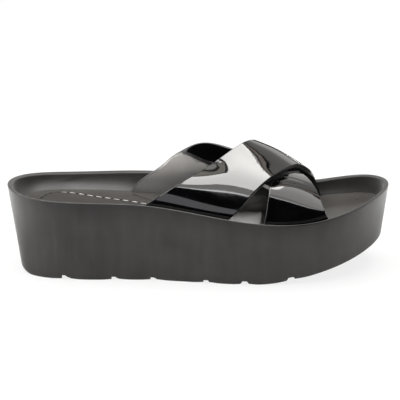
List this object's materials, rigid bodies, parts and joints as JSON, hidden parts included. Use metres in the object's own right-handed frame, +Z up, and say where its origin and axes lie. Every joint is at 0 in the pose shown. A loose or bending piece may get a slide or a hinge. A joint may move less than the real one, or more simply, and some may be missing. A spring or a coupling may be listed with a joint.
{
  "type": "platform slide slipper",
  "caption": "Right-foot platform slide: thick moulded cup sole with toe spring and grooved tread, a sunk insole, and wide patent straps crossing over the open-toed instep.",
  "frame": {"origin": "on the floor, under the middle of the shoe's bounding box", "axes": "+X to the toe, +Y to the inner side of the foot, +Z up"},
  "size_m": [0.265, 0.0974, 0.087],
  "materials": {
    "sole": "matt moulded foam rubber, fine satin skin",
    "insole": "smooth satin sock with a stitched line",
    "upper": "black patent, mirror gloss, rolled edges, grey satin lining"
  },
  "bodies": {
    "root": {"sole": "sole", "insole": "insole", "upper": "upper"}
  },
  "joints": []
}
